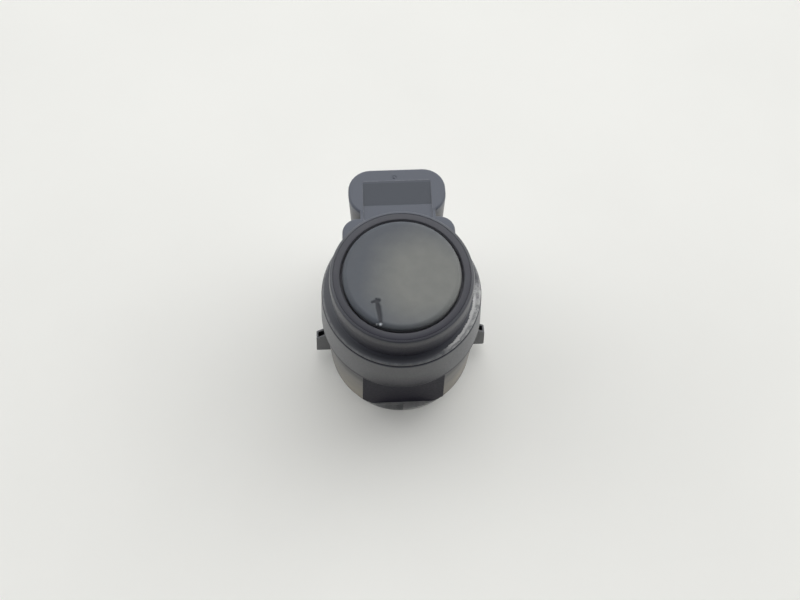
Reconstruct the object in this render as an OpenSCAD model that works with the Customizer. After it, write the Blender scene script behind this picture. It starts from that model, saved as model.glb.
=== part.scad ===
// Ultrasonic parking sensor, standing on the back of its housing.
// A moulded housing with a plug socket at its side holds a soft-mounted transducer cup in its front
// neck, and a circuit board closed in by potting in its rear chamber.
// Sizes are in millimetres. The origin is on the sensing axis in the plane of the foot, +Z points
// out of the sensing face and +Y towards the plug socket.

/* [Housing] */
// Width of the front ledge round the neck
ledge_w = 1.4; // [1:0.05:2]
// Height of the front ledge above the foot
ledge_z = 26.4; // [24:0.1:30]
// Distance that the collar flares out from its ledge down to its step
flare_w = 0.85; // [0.6:0.05:1.2]
// Height of the step above the foot
step_z = 17; // [14:0.1:20]
// Diameter of the rear body under the step
body_d = 24.8; // [24.2:0.1:25]
// Diameter of the rear body just above the foot
skirt_d = 25.2; // [24.8:0.1:25.6]
// Height of the widest part of the rear body above the foot
skirt_z = 2.4; // [1.6:0.1:4]
// Diameter of the foot
foot_d = 24.4; // [23.6:0.1:24.8]
// Height of the foot below the front flat
foot_h = 0.9; // [0.6:0.1:1.4]
// Wall of the rear chamber
wall = 1.5; // [1.2:0.1:1.8]
// Radius of the moulded edges
edge_r = 0.4; // [0.2:0.05:0.6]
// Height of the groove just under the ledge's edge
groove_h = 0.3; // [0.2:0.05:0.4]
// Depth of that groove below the ledge's edge
groove_depth = 0.15; // [0.1:0.05:0.2]
// Radius of the collar's lower edge at the step
step_edge_r = 1.2; // [0.6:0.1:1.6]

/* [Neck] */
// Width of the space for the soft ring between the cup and the neck
ring_w = 0.95; // [0.85:0.05:1.2]
// Height of the neck above the ledge
neck_h = 5.4; // [4.5:0.1:6.5]
// Wall of the neck
neck_wall = 1.05; // [0.9:0.05:1.2]
// Width of the rounded shoulder at the front of the neck
shoulder_w = 0.3; // [0.2:0.05:0.4]
// Height of that rounded shoulder
shoulder_h = 1.5; // [1:0.1:2]
// Width of the thin rim round the soft ring
rim_w = 0.3; // [0.2:0.05:0.4]

/* [Rear shoulder] */
// Width of the squared shoulder behind the collar
ear_w = 17.7; // [16.4:0.1:18.6]
// Distance from the axis to the back of the shoulder
ear_y = 12.4; // [12:0.1:12.6]
// Corner radius of the shoulder
ear_corner_r = 2.4; // [1.6:0.1:2.8]

/* [Front flat] */
// Distance from the axis to the flat on the front of the rear body
flat_y = 10.9; // [10.4:0.1:11.2]
// Width of the squared pad that carries the flat
pad_w = 14; // [12:0.1:15]
// Distance that each side of the pad leans in towards its top
pad_lean = 0.55; // [0.2:0.05:0.8]
// Width of the bevel at each lower corner of the pad
pad_bevel_w = 1.5; // [0.5:0.1:2.5]
// Height of that bevel
pad_bevel_h = 3; // [1:0.1:4]
// Length of the notch in the foot under the flat
notch_l = 5; // [3:0.1:5.2]
// Width of the strip between the flat and the notch
notch_strip = 0.35; // [0.2:0.05:0.5]
// Height of the notch floor above the bottom of the foot
notch_z = 0.35; // [0.2:0.05:0.5]

/* [Side lugs] */
// Distance from the axis to the end of a lug
lug_reach = 15.2; // [14.6:0.1:16]
// Distance that the end of a lug leans back from its foot to its top
lug_lean = 0.5; // [0.2:0.1:0.8]
// Thickness of a lug
lug_t = 1.5; // [1.3:0.1:2.4]
// Height of the underside of a lug
lug_z = 1.4; // [1:0.1:3]
// Height of a lug at its end
lug_end_h = 5.9; // [5:0.1:7]
// Height of a lug at the rear body
lug_root_h = 8.1; // [7.4:0.1:9]
// Side walls of the pocket in the top of a lug
lug_wall = 0.3; // [0.25:0.05:0.4]
// Wall between that pocket and the end of the lug
lug_end_wall = 0.35; // [0.3:0.05:0.6]
// Depth of the pocket, measured from the top of the lug's end
lug_pocket = 3; // [1:0.1:3.6]

/* [Plug socket] */
// Outside width of the socket
socket_w = 15.6; // [14.6:0.1:17]
// Outside depth of the socket, front to back
socket_l = 8.2; // [7.6:0.1:9]
// Distance from the axis to the front wall of the socket
socket_y = 13; // [12.8:0.1:13.6]
// Height of the socket mouth above the foot
socket_z = 4; // [2:0.1:6]
// Corner radius of the socket
socket_corner_r = 3.6; // [3:0.1:3.8]
// Wall of the socket
socket_wall = 1.2; // [1:0.05:1.4]
// Thickness under the contacts where they are moulded in
contact_cover = 1.2; // [0.8:0.1:2]
// Width of the bridge between the shoulder and the socket
bridge_w = 11.9; // [10.6:0.1:12.6]
// Width of the thin rib along each side of the bridge
bridge_rib_w = 0.5; // [0.4:0.1:0.8]
// Depth of the bridge top below its side ribs
bridge_sink = 0.15; // [0.1:0.05:0.3]
// Distance from the front wall of the socket to the field sunk in its top
field_y = 1.6; // [1.2:0.1:2]
// Length of that sunk field, front to back
field_l = 4.3; // [3:0.1:5]
// Depth of the sunk field
field_depth = 0.2; // [0.15:0.05:0.4]
// Width of the latch on the back of the socket
latch_w = 5; // [3:0.1:7]
// Height that the latch stands out from the socket
latch_h = 1.1; // [0.7:0.1:1.5]
// Length of the latch ramp
latch_l = 2.6; // [1.5:0.1:4]
// Height of the latch above the socket mouth
latch_z = 3.4; // [2:0.1:5]
// Width of each keying rib in the socket
key_w = 0.9; // [0.6:0.1:1.2]
// Height of each keying rib
key_h = 0.6; // [0.4:0.1:0.8]

/* [Transducer] */
// Diameter of the transducer cup
cup_d = 17.2; // [16.8:0.1:17.6]
// Height of the cup
cup_h = 8.6; // [7.8:0.1:9.4]
// Wall of the cup
cup_wall = 1; // [0.8:0.05:1.3]
// Thickness of the cup's sensing face
face_t = 0.9; // [0.6:0.05:1.2]
// Height that the face stands above the neck
face_proud = 0.6; // [0.2:0.05:1]
// Radius of the face's edge
face_edge_r = 0.75; // [0.4:0.05:0.8]
// Width of the open gap between the face and the soft ring
gap_w = 0.35; // [0.25:0.05:0.5]
// Depth of that gap below the front of the soft ring
gap_depth = 1.4; // [1:0.1:2]
// Thickness of the soft ring's front flange
flange_h = 0.9; // [0.6:0.1:1.3]
// Thickness of the soft ring's lip under the cup
lip_t = 0.6; // [0.4:0.1:0.9]
// Thickness of the ring that backs the soft ring
support_t = 1; // [0.7:0.1:1.4]
// Thickness of the shelf that carries the transducer
shelf_t = 1.2; // [0.9:0.1:1.6]
// Diameter of the hole through the shelf and the support ring
shelf_hole_d = 13.8; // [12.6:0.1:14.4]
// Diameter of the piezo disc
piezo_d = 7.5; // [6:0.1:8]
// Thickness of the piezo disc
piezo_t = 0.4; // [0.3:0.05:0.6]
// Thickness of the damping felt
felt_t = 2.5; // [1.5:0.1:4]
// Diameter of the piezo leads
lead_d = 0.5; // [0.4:0.05:0.7]
// Distance from the axis to the lead on the piezo disc
lead_hot_x = 2; // [1:0.1:2.4]
// Distance from the axis to the lead on the cup
lead_ground_x = 5.4; // [5:0.1:5.8]
// Clearance between the pieces of the transducer
slip_fit = 0.05; // [0.03:0.01:0.08]

/* [Electronics] */
// Height of the component side of the circuit board above the foot
board_z = 9.4; // [8:0.1:11]
// Thickness of the circuit board
board_t = 1; // [0.8:0.1:1.6]
// Clearance round the edge of the circuit board
board_gap = 0.25; // [0.15:0.05:0.4]
// Diameter of the four posts that the board is pushed up against
post_d = 2.4; // [2:0.1:2.8]
// Height of the potting's open face above the bottom of the foot
potting_z = 0.8; // [0.5:0.1:1.6]
// Width of a contact blade
contact_w = 1.2; // [0.8:0.1:1.5]
// Thickness of a contact blade
contact_t = 0.6; // [0.5:0.05:0.8]
// Spacing of the three contacts
contact_pitch = 3.6; // [3.2:0.1:3.9]
// Depth of the contact tips inside the socket mouth
contact_recess = 5.2; // [4.8:0.1:7]
// Distance from the rear wall of the chamber to the contact legs
leg_inset = 1.4; // [1.1:0.1:1.6]
// Distance from the shelf down to the middle of the contacts
contact_drop = 1.1; // [0.8:0.1:1.6]
// Length of the soldered tails under the board
tail_l = 0.7; // [0.5:0.1:1.2]
// Clearance round the tails in the board
tail_gap = 0.1; // [0.05:0.05:0.2]
// Diameter of the transformer's ferrite core
core_d = 6; // [5:0.1:6.4]
// Height of the ferrite core
core_h = 4.8; // [4:0.1:6]
// Thickness of the core's two flanges
core_flange_t = 0.9; // [0.7:0.1:1.2]
// Diameter of the core's middle
core_post_d = 2.6; // [2:0.1:3]
// Diameter of the copper winding
winding_d = 5; // [4.4:0.1:5]
// Thickness of the transformer's base plate
base_t = 0.8; // [0.6:0.1:1.2]
// Side of the control chip's body
chip_w = 4.4; // [4:0.1:4.6]
// Height of the control chip
chip_h = 1.4; // [1:0.1:1.8]
// Diameter of the buffer capacitor
capacitor_d = 5; // [4:0.1:5.2]
// Height of the buffer capacitor
capacitor_h = 5.4; // [4.5:0.1:7]
// Length of the protection diode
diode_l = 4.2; // [3.6:0.1:4.4]
// Length of a chip component
small_l = 1.6; // [1.2:0.1:1.8]
// Width of a chip component
small_w = 0.8; // [0.6:0.1:1]

/* [Hidden] */
$fn = 64;

// Colours of the pieces
plastic_black = "#3b3c40";
rubber_black = "#2f2f32";
paint_black = "#4a4b4d";
aluminium_grey = "#b9bcbf";
ceramic_white = "#d8d4c8";
felt_white = "#e4e1d8";
wire_copper = "#b87333";
board_green = "#1f5c3a";
chip_black = "#1c1c1e";
ferrite_grey = "#3a3836";
tin_silver = "#c4c4c0";
capacitor_tan = "#b39a72";
resistor_dark = "#26241f";
potting_brown = "#4a4238";

// Arc and overlap settings
arc_steps = 6;
outline_fn = 32;
sliver = 0.02;
bite = 1;
over = 2;

// Radii of the neck and the collar, from the cup outwards
cup_r = cup_d / 2;
bore_r = cup_r + ring_w;
neck_r = bore_r + neck_wall;
rim_r = neck_r - shoulder_w;
flange_seat_r = rim_r - rim_w;
collar_r = neck_r + ledge_w;
step_r = collar_r + flare_w;

// The collar's lower edge turns in by this many degrees before it meets the rear body
step_turn = 60;
step_edge_z = step_z + step_edge_r * sin(step_turn);

// The groove under the ledge's edge runs between these heights
groove_top_z = ledge_z - edge_r;
groove_z = groove_top_z - groove_h;

// Radii and distances of the rear body
body_r = body_d / 2;
skirt_r = skirt_d / 2;
foot_r = foot_d / 2;
shelf_hole_r = shelf_hole_d / 2;
chamber_r = body_r - wall;
chamber_front_y = flat_y - wall;
chamber_rear_y = ear_y - wall;
chamber_rear_w = ear_w - 2 * wall;

// Heights of the transducer stack, from the face down to the shelf
neck_top_z = ledge_z + neck_h;
face_z = neck_top_z + face_proud;
face_back_z = face_z - face_t;
piezo_z = face_back_z - piezo_t;
felt_z = piezo_z - felt_t;
cup_z = face_z - cup_h;
ring_z = cup_z - lip_t;
seat_z = ring_z - support_t;
shelf_z = seat_z - shelf_t;

// Radii of the transducer
cup_inner_r = cup_r - cup_wall;
lead_r = lead_d / 2;

// Places of the contacts and the socket
socket_back_y = socket_y + socket_l;
socket_mid_y = socket_y + socket_l / 2;
contact_z = shelf_z - contact_drop;
ceiling_z = contact_z - contact_t / 2 - contact_cover;
contact_tip_z = socket_z + contact_recess;
leg_y = chamber_rear_y - leg_inset;
board_back_z = board_z - board_t;
tail_z = board_back_z - tail_l;
key_x = contact_pitch * 3 / 2 - key_w / 2;

// Places of the components on the board
transformer_at = [-3.9, -4.2];
chip_at = [3.6, -3.8];
capacitor_at = [4.4, 4.2];
diode_at = [-3.6, 5.2];
chip_capacitor_spots = [[0.4, -7.8], [2.8, -7.8], [5.2, -7.8], [-0.8, 2.2]];
chip_resistor_spots = [[7.8, -3.2], [7.8, -1.4], [-7.2, 2], [-0.8, 7.2]];

// Points of an arc or a quarter ellipse in a profile
function arc(centre, radii, from, to) =
    [for (i = [0:arc_steps])
        let (turn = from + (to - from) * i / arc_steps)
        [centre.x + radii.x * cos(turn), centre.y + radii.y * sin(turn)]];

// Rectangle with round corners, about its middle
module rounded_outline(width, length, corner_r) {
    square([width - 2 * corner_r, length], center = true);
    square([width, length - 2 * corner_r], center = true);
    for (x = [-1, 1], y = [-1, 1])
        translate([x * (width / 2 - corner_r), y * (length / 2 - corner_r)])
            circle(corner_r, $fn = outline_fn);
}

// Upright block with round corners and a rounded top edge
module rounded_block(width, length, height, corner_r) {
    first_turn = 90 / arc_steps;
    hull() {
        linear_extrude(height - edge_r)
            rounded_outline(width, length, corner_r);
        for (point = arc([-edge_r, height - edge_r], [edge_r, edge_r], first_turn, 90))
            translate([0, 0, point.y - sliver])
                linear_extrude(sliver)
                    rounded_outline(width + 2 * point.x, length + 2 * point.x, corner_r + point.x);
    }
}

// Outline of the rear chamber, drawn in by a clearance
module chamber_outline(inset) {
    intersection() {
        circle(chamber_r - inset);
        translate([-chamber_r, inset - chamber_front_y])
            square([2 * chamber_r, 2 * chamber_r]);
    }
    translate([inset - chamber_rear_w / 2, 0])
        square([chamber_rear_w - 2 * inset, chamber_rear_y - inset]);
}

// Turned form of the collar, neck, rear body and foot
module housing_body() {
    rotate_extrude()
        polygon(concat(
            [[0, 0], [foot_r, 0], [foot_r, foot_h], [skirt_r, skirt_z], [body_r, step_z]],
            arc([step_r - step_edge_r, step_edge_z], [step_edge_r, step_edge_r], -step_turn, 0),
            [[collar_r + groove_depth, groove_z], [collar_r - groove_depth, groove_z + groove_h / 2]],
            arc([collar_r - edge_r, groove_top_z], [edge_r, edge_r], 0, 90),
            arc([neck_r + edge_r, ledge_z + edge_r], [edge_r, edge_r], 270, 180),
            arc([rim_r, neck_top_z - shoulder_h], [shoulder_w, shoulder_h], 0, 90),
            [[0, neck_top_z]]
        ));
}

// Squared shoulder behind the collar, which closes the chamber at the back
module rear_shoulder() {
    translate([0, (ear_y - bite) / 2, 0])
        rounded_block(ear_w, ear_y + bite, ledge_z, ear_corner_r);
}

// Socket block with the bridge that joins it to the shoulder
module socket_block() {
    translate([0, socket_mid_y, socket_z])
        rounded_block(socket_w, socket_l, ledge_z - socket_z, socket_corner_r);
    translate([-bridge_w / 2, ear_y - bite, socket_z])
        cube([bridge_w, socket_y - ear_y + 2 * bite, ledge_z - socket_z]);
}

// Ramp on the back of the socket that holds the plug's clip
module socket_latch() {
    foot = socket_z + latch_z;
    translate([-latch_w / 2, socket_back_y, foot])
        rotate([90, 0, 90])
            linear_extrude(latch_w)
                polygon([
                    [-socket_wall / 2, 0],
                    [0, 0],
                    [latch_h, latch_l],
                    [latch_h, latch_l + latch_h],
                    [-socket_wall / 2, latch_l + latch_h]
                ]);
}

// Hollow of the socket, open at its mouth
module socket_hollow() {
    translate([0, socket_mid_y, socket_z - over])
        linear_extrude(ceiling_z - socket_z + over)
            rounded_outline(
                socket_w - 2 * socket_wall,
                socket_l - 2 * socket_wall,
                socket_corner_r - socket_wall
            );
}

// Ribs in the socket that let the plug in one way round
module socket_keys() {
    for (x = [-key_x, key_x])
        translate([x - key_w / 2, socket_y + socket_wall / 2, contact_tip_z])
            cube([key_w, socket_wall / 2 + key_h, ceiling_z - contact_tip_z + sliver]);
}

// Sunk field in the socket's top and the lowered bridge in front of it
module top_recesses() {
    inner_w = bridge_w - 2 * bridge_rib_w;
    translate([-inner_w / 2, socket_y + field_y, ledge_z - field_depth])
        cube([inner_w, field_l, field_depth + over]);
    translate([-inner_w / 2, ear_y - edge_r, ledge_z - bridge_sink])
        cube([inner_w, socket_y + field_y - ear_y + edge_r + sliver, bridge_sink + over]);
}

// Snap lug on the side of the rear body
module side_lug() {
    root = chamber_r + wall / 2;
    rotate([90, 0, 0])
        linear_extrude(lug_t, center = true)
            polygon([
                [root, lug_z],
                [lug_reach - edge_r, lug_z],
                [lug_reach, lug_z + edge_r],
                [lug_reach - lug_lean, lug_z + lug_end_h],
                [body_r, lug_z + lug_root_h],
                [root, lug_z + lug_root_h]
            ]);
}

// Pocket cored out of a lug from above
module lug_hollow() {
    inner = skirt_r + lug_wall / 2;
    inner_t = lug_t - 2 * lug_wall;
    translate([inner, -inner_t / 2, lug_z + lug_end_h - lug_pocket])
        cube([lug_reach - lug_lean - lug_end_wall - inner, inner_t, lug_root_h]);
}

// Flat on the front of the rear body, and the notch in the foot below it
module front_flat() {
    translate([-step_r, -step_r - flat_y, foot_h])
        cube([2 * step_r, step_r, step_z - foot_h]);
    translate([-notch_l, -step_r - flat_y - notch_strip, notch_z])
        cube([notch_l, step_r, foot_h]);
}

// Squared pad that carries the flat, with bevelled lower corners
module front_pad() {
    half = pad_w / 2;
    top = step_z + edge_r;
    translate([0, -flat_y, 0])
        rotate([90, 0, 0])
            translate([0, 0, -wall / 2])
                linear_extrude(wall / 2)
                    polygon([
                        [pad_lean - half, top],
                        [-half, foot_h + pad_bevel_h],
                        [pad_bevel_w - half, foot_h],
                        [half - pad_bevel_w, foot_h],
                        [half, foot_h + pad_bevel_h],
                        [half - pad_lean, top]
                    ]);
}

// Stepped bore for the transducer and the chamber behind its shelf
module housing_bores() {
    translate([0, 0, neck_top_z - flange_h])
        cylinder(h = flange_h + over, r = flange_seat_r);
    translate([0, 0, seat_z])
        cylinder(h = neck_top_z - seat_z, r = bore_r);
    translate([0, 0, shelf_z - sliver])
        cylinder(h = shelf_t + 2 * sliver, r = shelf_hole_r);
    translate([0, 0, -over])
        linear_extrude(shelf_z + over)
            chamber_outline(0);
}

// Posts on the chamber wall that stop the board
module board_posts() {
    post_r = post_d / 2;
    reach = chamber_r + wall / 2 - post_r;
    for (turn = [20, 160, 215, 325])
        rotate(turn)
            translate([reach, 0, board_z])
                cylinder(h = shelf_z - board_z + sliver, r = post_r);
}

// Bent contact: a leg down to the board, a run through the wall and a blade in the socket
module contact_shape(x) {
    half = contact_t / 2;
    top = contact_z + half;
    translate([x - contact_w / 2, 0, 0])
        rotate([90, 0, 90])
            linear_extrude(contact_w)
                polygon([
                    [leg_y - half, tail_z],
                    [leg_y + half, tail_z],
                    [leg_y + half, top - contact_t],
                    [socket_mid_y - half, top - contact_t],
                    [socket_mid_y - half, contact_tip_z + contact_t],
                    [socket_mid_y - half / 2, contact_tip_z],
                    [socket_mid_y + half / 2, contact_tip_z],
                    [socket_mid_y + half, contact_tip_z + contact_t],
                    [socket_mid_y + half, top],
                    [leg_y - half, top]
                ]);
}

// Straight lead from a given height down through the board
module lead_shape(x, top) {
    translate([x, 0, tail_z])
        cylinder(h = top - tail_z, r = lead_r);
}

// Both piezo leads, made wider by a clearance
module lead_holes(clearance) {
    for (x = [lead_hot_x, -lead_ground_x])
        translate([x, 0, 0])
            cylinder(h = face_z, r = lead_r + clearance);
}

module housing() {
    color(plastic_black) {
        difference() {
            union() {
                housing_body();
                rear_shoulder();
                socket_block();
                socket_latch();
                for (side = [0, 1])
                    mirror([side, 0, 0])
                        side_lug();
            }
            housing_bores();
            socket_hollow();
            top_recesses();
            front_flat();
            for (side = [0, 1])
                mirror([side, 0, 0])
                    lug_hollow();
            for (row = [-1, 0, 1])
                contact_shape(row * contact_pitch);
        }
        front_pad();
        board_posts();
        socket_keys();
    }
}

module decoupling_ring() {
    sleeve_r = bore_r - slip_fit;
    flange_r = flange_seat_r - slip_fit;
    gap_r = cup_r + gap_w;
    cup_fit_r = cup_r + slip_fit;
    soft_edge = gap_w / 2;
    color(rubber_black)
        rotate_extrude()
            polygon(concat(
                [
                    [shelf_hole_r, ring_z],
                    [sleeve_r, ring_z],
                    [sleeve_r, neck_top_z - flange_h],
                    [flange_r, neck_top_z - flange_h]
                ],
                arc([flange_r - soft_edge, neck_top_z - soft_edge], [soft_edge, soft_edge], 0, 90),
                arc([gap_r + soft_edge, neck_top_z - soft_edge], [soft_edge, soft_edge], 90, 180),
                [
                    [gap_r, neck_top_z - gap_depth],
                    [cup_fit_r, neck_top_z - gap_depth],
                    [cup_fit_r, cup_z],
                    [shelf_hole_r, cup_z]
                ]
            ));
}

module membrane_cup() {
    color(paint_black)
        rotate_extrude()
            polygon(concat(
                [[cup_inner_r, cup_z], [cup_r, cup_z]],
                arc([cup_r - face_edge_r, face_z - face_edge_r], [face_edge_r, face_edge_r], 0, 90),
                [[0, face_z], [0, face_back_z], [cup_inner_r, face_back_z]]
            ));
}

module piezo_disc() {
    color(ceramic_white)
        translate([0, 0, piezo_z])
            cylinder(h = piezo_t, d = piezo_d);
}

module damping_felt() {
    color(felt_white)
        difference() {
            translate([0, 0, felt_z])
                cylinder(h = felt_t, r = cup_inner_r - slip_fit);
            lead_holes(slip_fit);
        }
}

module support_ring() {
    color(plastic_black)
        translate([0, 0, seat_z])
            difference() {
                cylinder(h = support_t, r = bore_r - slip_fit);
                translate([0, 0, -sliver])
                    cylinder(h = support_t + 2 * sliver, r = shelf_hole_r);
            }
}

module piezo_lead_hot() {
    color(wire_copper)
        lead_shape(lead_hot_x, piezo_z);
}

module piezo_lead_ground() {
    color(wire_copper)
        lead_shape(-lead_ground_x, face_back_z);
}

module circuit_board() {
    slot = [contact_w + 2 * tail_gap, contact_t + 2 * tail_gap, board_t + over];
    color(board_green)
        difference() {
            translate([0, 0, board_back_z])
                linear_extrude(board_t)
                    chamber_outline(board_gap);
            lead_holes(tail_gap);
            for (row = [-1, 0, 1])
                translate([row * contact_pitch, leg_y, board_z - board_t / 2])
                    cube(slot, center = true);
        }
}

module control_chip() {
    pin_count = 5;
    pin_w = 0.3;
    pin_reach = 0.7;
    pitch = chip_w / pin_count;
    color(chip_black)
        translate([chip_at.x, chip_at.y, board_z]) {
            translate([0, 0, chip_h / 2])
                cube([chip_w, chip_w, chip_h], center = true);
            for (i = [0:pin_count - 1])
                translate([(i - (pin_count - 1) / 2) * pitch, 0, pin_w / 2])
                    cube([pin_w, chip_w + 2 * pin_reach, pin_w], center = true);
        }
}

module transformer_base() {
    color(chip_black)
        translate([transformer_at.x, transformer_at.y, board_z + base_t / 2])
            cube([core_d, core_d, base_t], center = true);
}

module transformer_core() {
    core_r = core_d / 2;
    color(ferrite_grey)
        translate([transformer_at.x, transformer_at.y, board_z + base_t])
            rotate_extrude()
                polygon([
                    [0, 0],
                    [core_r, 0],
                    [core_r, core_flange_t],
                    [core_post_d / 2, core_flange_t],
                    [core_post_d / 2, core_h - core_flange_t],
                    [core_r, core_h - core_flange_t],
                    [core_r, core_h],
                    [0, core_h]
                ]);
}

module transformer_winding() {
    inner_r = core_post_d / 2 + slip_fit;
    turns_h = core_h - 2 * core_flange_t;
    color(wire_copper)
        translate([transformer_at.x, transformer_at.y, board_z + base_t + core_flange_t])
            rotate_extrude()
                translate([inner_r, 0])
                    square([winding_d / 2 - inner_r, turns_h]);
}

module buffer_capacitor() {
    foot_t = 0.6;
    groove = 0.2;
    can_r = capacitor_d / 2;
    color(aluminium_grey)
        translate([capacitor_at.x, capacitor_at.y, board_z]) {
            translate([0, 0, foot_t / 2])
                cube([capacitor_d, capacitor_d, foot_t], center = true);
            rotate_extrude()
                polygon(concat(
                    [[0, 0], [can_r - groove, 0], [can_r - groove, 2 * foot_t], [can_r, 3 * foot_t]],
                    arc([can_r - groove, capacitor_h - groove], [groove, groove], 0, 90),
                    [[0, capacitor_h]]
                ));
        }
}

module protection_diode() {
    body_w = 2.6;
    body_h = 2.1;
    tab_w = 1.4;
    tab_t = 0.3;
    tab_reach = 0.5;
    color(chip_black)
        translate([diode_at.x, diode_at.y, board_z]) {
            translate([0, 0, body_h / 2])
                cube([diode_l, body_w, body_h], center = true);
            translate([0, 0, tab_t / 2])
                cube([diode_l + 2 * tab_reach, tab_w, tab_t], center = true);
        }
}

// Chip components of one kind, set out on the board
module chip_row(spots, height) {
    for (spot = spots)
        translate([spot.x, spot.y, board_z + height / 2])
            cube([small_l, small_w, height], center = true);
}

module chip_capacitors() {
    color(capacitor_tan)
        chip_row(chip_capacitor_spots, small_w);
}

module chip_resistors() {
    color(resistor_dark)
        chip_row(chip_resistor_spots, small_w / 2);
}

module terminal_supply() {
    color(tin_silver)
        contact_shape(-contact_pitch);
}

module terminal_signal() {
    color(tin_silver)
        contact_shape(0);
}

module terminal_ground() {
    color(tin_silver)
        contact_shape(contact_pitch);
}

module potting() {
    color(potting_brown)
        difference() {
            translate([0, 0, potting_z])
                linear_extrude(board_back_z - potting_z)
                    chamber_outline(0);
            lead_shape(lead_hot_x, board_z);
            lead_shape(-lead_ground_x, board_z);
            for (row = [-1, 0, 1])
                contact_shape(row * contact_pitch);
        }
}

housing();
decoupling_ring();
membrane_cup();
piezo_disc();
damping_felt();
support_ring();
piezo_lead_hot();
piezo_lead_ground();
circuit_board();
control_chip();
transformer_base();
transformer_core();
transformer_winding();
buffer_capacitor();
protection_diode();
chip_capacitors();
chip_resistors();
terminal_supply();
terminal_signal();
terminal_ground();
potting();
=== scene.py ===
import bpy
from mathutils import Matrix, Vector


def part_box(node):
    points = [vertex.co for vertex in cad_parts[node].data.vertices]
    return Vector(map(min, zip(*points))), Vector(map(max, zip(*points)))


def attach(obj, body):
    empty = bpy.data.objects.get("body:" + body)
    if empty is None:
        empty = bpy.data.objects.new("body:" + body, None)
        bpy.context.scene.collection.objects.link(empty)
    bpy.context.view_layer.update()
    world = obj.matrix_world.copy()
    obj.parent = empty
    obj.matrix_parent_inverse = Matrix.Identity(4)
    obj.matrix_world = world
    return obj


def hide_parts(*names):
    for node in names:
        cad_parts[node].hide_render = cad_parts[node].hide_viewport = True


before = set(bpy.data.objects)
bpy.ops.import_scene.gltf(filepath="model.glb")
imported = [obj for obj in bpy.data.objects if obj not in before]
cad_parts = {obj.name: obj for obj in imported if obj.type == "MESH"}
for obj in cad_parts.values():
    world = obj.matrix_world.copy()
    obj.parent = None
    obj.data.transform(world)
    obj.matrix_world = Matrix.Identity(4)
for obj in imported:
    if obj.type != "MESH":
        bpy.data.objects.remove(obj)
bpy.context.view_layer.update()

import functools
import math
import types

import bmesh
import bpy
from mathutils import Matrix, Vector

bl_info = {
    "name": "Parking Sensor",
    "version": (1, 0, 0),
    "blender": (4, 5, 0),
    "location": "3D View > Sidebar > Parking Sensor",
    "description": "Builds the housing, soft ring, sensing disc and inside of an ultrasonic parking sensor",
    "category": "Object",
}

MM = 0.001
BODY = "root"

# Finished pieces are fine enough that no flat side shows from a step away
TURN_SIDES = 192
DISC_SIDES = 320
ARC_STEPS = 8
CHAMBER_STEPS = 40
TINY = 1e-9

# A cut reaches past its face by OVER, and a joined block bites into its neighbour by BITE or SLIVER
OVER = 2 * MM
BITE = 1 * MM
SLIVER = 0.02 * MM

# Points closer than WELD become one, edges shorter than SHORTEST go, and sharper turns stay edges
WELD = 0.002 * MM
SHORTEST = 0.001 * MM
SHARP_TURN = math.radians(32)
FLAT_WEIGHT = 80

# An outline in X and Y is stood up along Y, or laid across X
UPRIGHT = Matrix.Rotation(math.radians(90), 4, "X")
ACROSS = Matrix(((0, 0, 1, 0), (1, 0, 0, 0), (0, 1, 0, 0), (0, 0, 0, 1)))

# Places that the frame gives
HOUSING_LOW, HOUSING_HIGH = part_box("housing")
CUP_LOW, CUP_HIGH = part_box("membrane_cup")
RING_LOW, RING_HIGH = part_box("decoupling_ring")
SUPPORT_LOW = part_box("support_ring")[0]
POTTING_LOW, POTTING_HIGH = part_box("potting")
CONTACT_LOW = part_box("terminal_signal")[0]
SIDE_CONTACT_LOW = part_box("terminal_ground")[0]
BOARD_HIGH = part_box("circuit_board")[1]


def linear(colour):
    """Turns an sRGB hex colour into the linear values that shaders use."""
    shares = [int(colour[i:i + 2], 16) / 255 for i in (1, 3, 5)]
    return tuple(s / 12.92 if s <= 0.04045 else ((s + 0.055) / 1.055) ** 2.4 for s in shares)


def length(label, description, millimetres):
    """A length that the user can change, given in millimetres and kept in metres."""
    return bpy.props.FloatProperty(
        name=label, description=description, default=millimetres * MM, unit="LENGTH", precision=5
    )


def colour(label, description, value):
    """A colour that the user can change, given as an sRGB hex value."""
    return bpy.props.FloatVectorProperty(
        name=label, description=description, default=linear(value), subtype="COLOR", min=0, max=1
    )


def angle(label, description, degrees):
    """An angle that the user can change, given in degrees and kept in radians."""
    return bpy.props.FloatProperty(
        name=label, description=description, default=math.radians(degrees), subtype="ANGLE"
    )


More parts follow.
